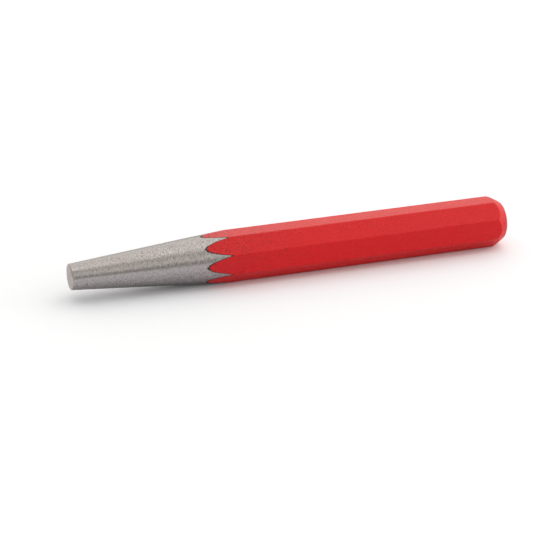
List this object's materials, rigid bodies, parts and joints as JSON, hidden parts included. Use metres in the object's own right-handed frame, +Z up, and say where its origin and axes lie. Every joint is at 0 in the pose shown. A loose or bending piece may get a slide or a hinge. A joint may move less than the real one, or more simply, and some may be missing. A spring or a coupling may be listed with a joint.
{
  "type": "taper punch",
  "caption": "Solid steel taper punch: lacquered octagonal shank, ground cone with a flat tip for driving out pins and rivets, and a bevelled striking head.",
  "frame": {"origin": "centre of the bounding box's base: on the resting flat, midway between the tip face and the striking face", "axes": "+X along the punch from its tip to its striking head, +Y across it, +Z up from the resting flat"},
  "size_m": [0.125, 0.0132, 0.0133],
  "materials": {
    "ground_steel": "bare chrome-vanadium steel, ground round the cone to a fine satin grain",
    "dark_oxide": "matt dark undercoat, seen only as a thin line along its ground edge",
    "red_lacquer": "satin red lacquer with a fine sprayed texture"
  },
  "bodies": {
    "root": {"steel_blank": "ground_steel", "dark_undercoat": "dark_oxide", "lacquer_coat": "red_lacquer"}
  },
  "joints": []
}
